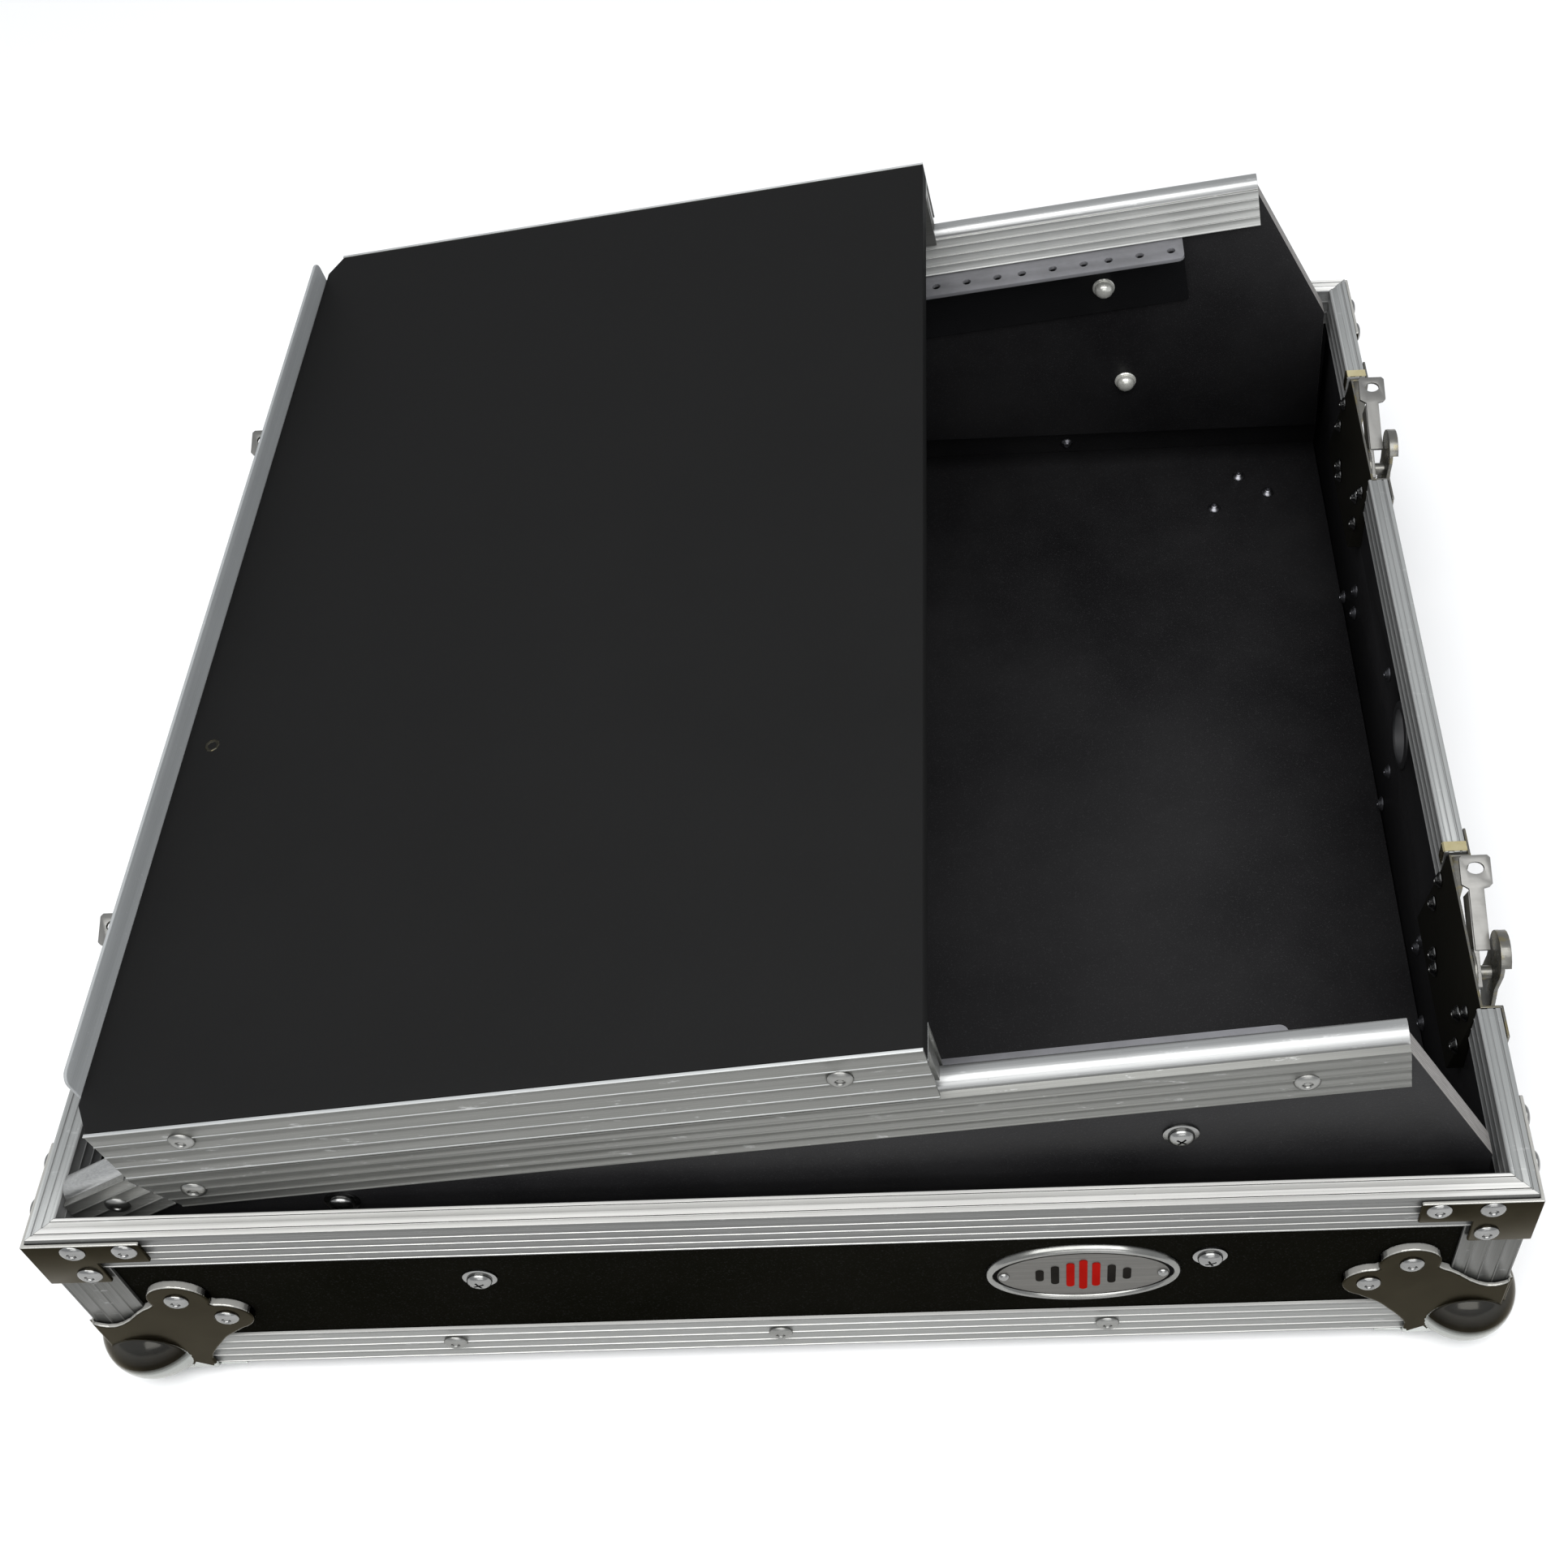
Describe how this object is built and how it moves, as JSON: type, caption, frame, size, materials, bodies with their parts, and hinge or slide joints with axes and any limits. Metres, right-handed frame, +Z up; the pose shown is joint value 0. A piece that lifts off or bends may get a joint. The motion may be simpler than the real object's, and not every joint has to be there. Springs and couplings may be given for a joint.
{
  "type": "rack case base with sliding shelf",
  "caption": "Open base of a slant-top rack flight case: black laminate tray with aluminium edges, inclined rack rails and a laptop shelf that slides up them.",
  "frame": {"origin": "middle of the case in plan, at the level of the ball corners it stands on", "axes": "+X towards the high end of the inclined rails, where cables leave; +Y to the left of somebody standing at the low end and looking along +X; +Z up"},
  "size_m": [0.583, 0.56, 0.2163],
  "materials": {
    "laminate": "black phenolic laminate with a fine texture",
    "aluminium": "satin extrusion, lightly fluted and scuffed",
    "polished_steel": "polished nickel-plated steel",
    "rack_steel": "satin steel",
    "shelf_black": "matte black with fine grain",
    "lip_grey": "satin grey",
    "zinc_plate": "bright zinc with a faint yellow cast",
    "badge_metal": "polished"
  },
  "bodies": {
    "case": {"badge": "badge_metal", "ball_corner_front_left": "polished_steel", "ball_corner_front_right": "polished_steel", "ball_corner_rear_left": "polished_steel", "ball_corner_rear_right": "polished_steel", "bottom_edge_front": "aluminium", "bottom_edge_left": "aluminium", "bottom_edge_rear": "aluminium", "bottom_edge_right": "aluminium", "corner_angle_front_left": "aluminium", "corner_angle_front_right": "aluminium", "corner_angle_rear_left": "aluminium", "corner_angle_rear_right": "aluminium", "corner_brace_front_left": "polished_steel", "corner_brace_front_right": "polished_steel", "corner_brace_rear_left": "polished_steel", "corner_brace_rear_right": "polished_steel", "floor_panel": "laminate", "front_rail_left": "aluminium", "front_rail_right": "aluminium", "latch_front_left_dish": "zinc_plate", "latch_front_right_dish": "zinc_plate", "latch_rear_left_dish": "zinc_plate", "latch_rear_right_dish": "zinc_plate", "panel_batten_left": "laminate", "panel_batten_right": "laminate", "rack_panel_left": "laminate", "rack_panel_right": "laminate", "rack_rail_left": "rack_steel", "rack_rail_right": "rack_steel", "rim_front_left": "aluminium", "rim_front_middle": "aluminium", "rim_front_right": "aluminium", "rim_left": "aluminium", "rim_rear_left": "aluminium", "rim_rear_middle": "aluminium", "rim_rear_right": "aluminium", "rim_right": "aluminium", "slide_rail_left": "aluminium", "slide_rail_right": "aluminium", "wall_front": "laminate", "wall_left": "laminate", "wall_rear": "laminate", "wall_right": "laminate"},
    "shelf": {"shelf_board": "shelf_black", "shelf_channel_left": "aluminium", "shelf_channel_right": "aluminium", "shelf_lip": "lip_grey"},
    "latch_front_left_carrier": {"latch_front_left_carrier": "zinc_plate"},
    "latch_front_left_hook": {"latch_front_left_hook": "zinc_plate"},
    "latch_front_left_knob": {"latch_front_left_knob": "zinc_plate"},
    "latch_front_right_carrier": {"latch_front_right_carrier": "zinc_plate"},
    "latch_front_right_hook": {"latch_front_right_hook": "zinc_plate"},
    "latch_front_right_knob": {"latch_front_right_knob": "zinc_plate"},
    "latch_rear_left_carrier": {"latch_rear_left_carrier": "zinc_plate"},
    "latch_rear_left_hook": {"latch_rear_left_hook": "zinc_plate"},
    "latch_rear_left_knob": {"latch_rear_left_knob": "zinc_plate"},
    "latch_rear_right_carrier": {"latch_rear_right_carrier": "zinc_plate"},
    "latch_rear_right_hook": {"latch_rear_right_hook": "zinc_plate"},
    "latch_rear_right_knob": {"latch_rear_right_knob": "zinc_plate"}
  },
  "joints": [
    {"name": "shelf_slide", "type": "slide", "parent": "case", "child": "shelf", "axis": [0.9914, 0, 0.1312], "range_m": [0, 0.16]},
    {"name": "latch_front_left_swing", "type": "hinge", "parent": "case", "child": "latch_front_left_carrier", "pos_m": [-0.2785, 0.1383, 0.103], "axis": [1, 0, 0], "range_deg": [0, 68]},
    {"name": "latch_front_left_turn", "type": "hinge", "parent": "latch_front_left_carrier", "child": "latch_front_left_knob", "pos_m": [-0.2785, 0.1383, 0.103], "axis": [1, 0, 0], "range_deg": [0, 180]},
    {"name": "latch_front_left_draw", "type": "slide", "parent": "latch_front_left_carrier", "child": "latch_front_left_hook", "axis": [0, 0.9272, 0.3746], "range_m": [-0.0038, 0]},
    {"name": "latch_front_right_swing", "type": "hinge", "parent": "case", "child": "latch_front_right_carrier", "pos_m": [-0.2785, -0.1643, 0.103], "axis": [1, 0, 0], "range_deg": [0, 68]},
    {"name": "latch_front_right_turn", "type": "hinge", "parent": "latch_front_right_carrier", "child": "latch_front_right_knob", "pos_m": [-0.2785, -0.1643, 0.103], "axis": [1, 0, 0], "range_deg": [0, 180]},
    {"name": "latch_front_right_draw", "type": "slide", "parent": "latch_front_right_carrier", "child": "latch_front_right_hook", "axis": [0, 0.9272, 0.3746], "range_m": [-0.0038, 0]},
    {"name": "latch_rear_left_swing", "type": "hinge", "parent": "case", "child": "latch_rear_left_carrier", "pos_m": [0.2785, 0.1433, 0.103], "axis": [1, 0, 0], "range_deg": [0, 68]},
    {"name": "latch_rear_left_turn", "type": "hinge", "parent": "latch_rear_left_carrier", "child": "latch_rear_left_knob", "pos_m": [0.2785, 0.1433, 0.103], "axis": [1, 0, 0], "range_deg": [0, 180]},
    {"name": "latch_rear_left_draw", "type": "slide", "parent": "latch_rear_left_carrier", "child": "latch_rear_left_hook", "axis": [0, 0.9272, 0.3746], "range_m": [-0.0038, 0]},
    {"name": "latch_rear_right_swing", "type": "hinge", "parent": "case", "child": "latch_rear_right_carrier", "pos_m": [0.2785, -0.1593, 0.103], "axis": [1, 0, 0], "range_deg": [0, 68]},
    {"name": "latch_rear_right_turn", "type": "hinge", "parent": "latch_rear_right_carrier", "child": "latch_rear_right_knob", "pos_m": [0.2785, -0.1593, 0.103], "axis": [1, 0, 0], "range_deg": [0, 180]},
    {"name": "latch_rear_right_draw", "type": "slide", "parent": "latch_rear_right_carrier", "child": "latch_rear_right_hook", "axis": [0, 0.9272, 0.3746], "range_m": [-0.0038, 0]}
  ],
  "couplings": [
    {"joint": "latch_front_left_draw", "follows": "latch_front_left_turn", "m_per_rad": -0.0012},
    {"joint": "latch_front_right_draw", "follows": "latch_front_right_turn", "m_per_rad": -0.0012},
    {"joint": "latch_rear_left_draw", "follows": "latch_rear_left_turn", "m_per_rad": -0.0012},
    {"joint": "latch_rear_right_draw", "follows": "latch_rear_right_turn", "m_per_rad": -0.0012}
  ]
}
